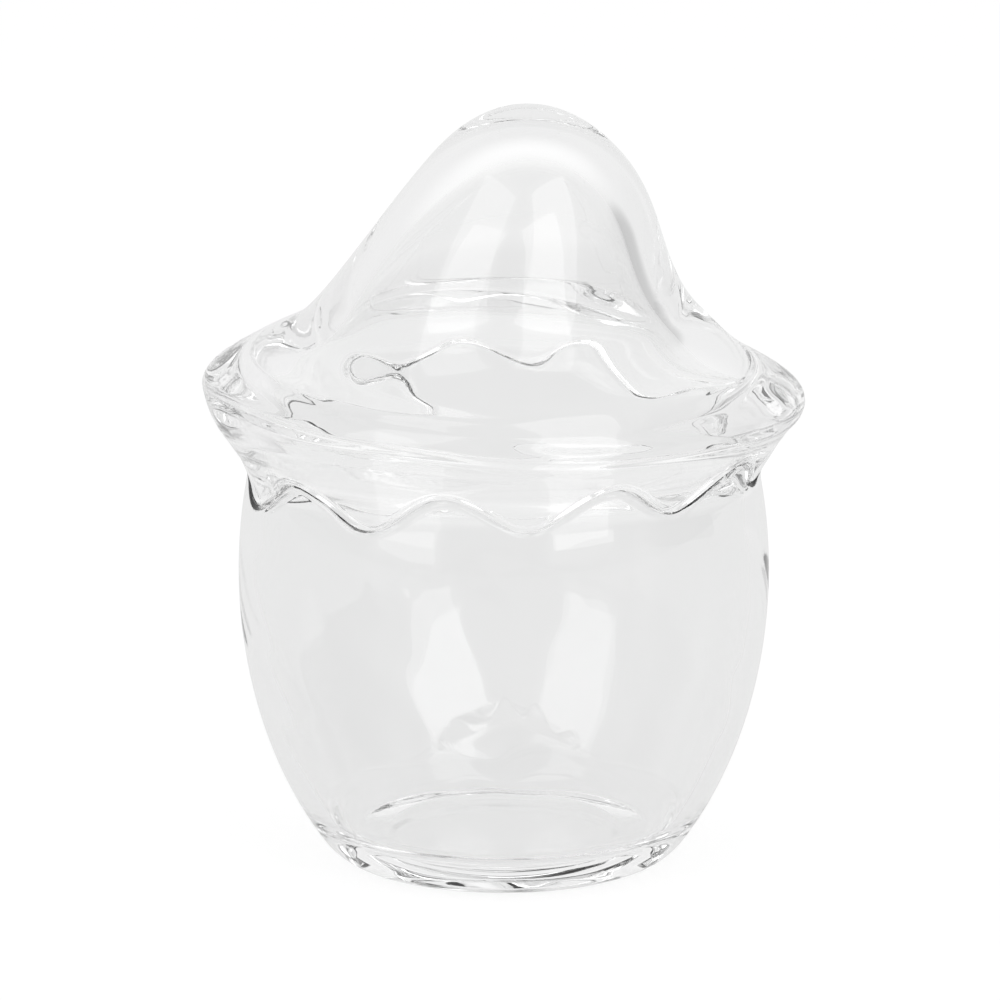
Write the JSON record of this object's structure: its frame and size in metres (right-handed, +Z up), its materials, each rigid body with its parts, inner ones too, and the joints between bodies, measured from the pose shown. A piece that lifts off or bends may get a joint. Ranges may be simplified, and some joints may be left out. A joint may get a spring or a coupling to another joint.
{
  "type": "lidded glass jar",
  "caption": "Egg-shaped clear glass jar with a thick base and a lift-off glass lid: a leaning hollow dome on a flared brim that meets the jar along a wavy, scalloped seam.",
  "frame": {"origin": "centre of the jar's flat foot, on the surface it stands on", "axes": "+Z up along the jar's axis, -Y towards the viewer, +X to the viewer's right, the way the lid's dome leans"},
  "size_m": [0.116, 0.116, 0.1471],
  "materials": {
    "jar_glass": "clear, fire-polished",
    "lid_glass": "clear, fire-polished"
  },
  "bodies": {
    "jar": {"jar_body": "jar_glass"},
    "cover": {"lid": "lid_glass"}
  },
  "joints": [
    {"name": "lid_lift", "type": "slide", "parent": "jar", "child": "cover", "axis": [0, 0, 1], "range_m": [0, 0.1]}
  ]
}
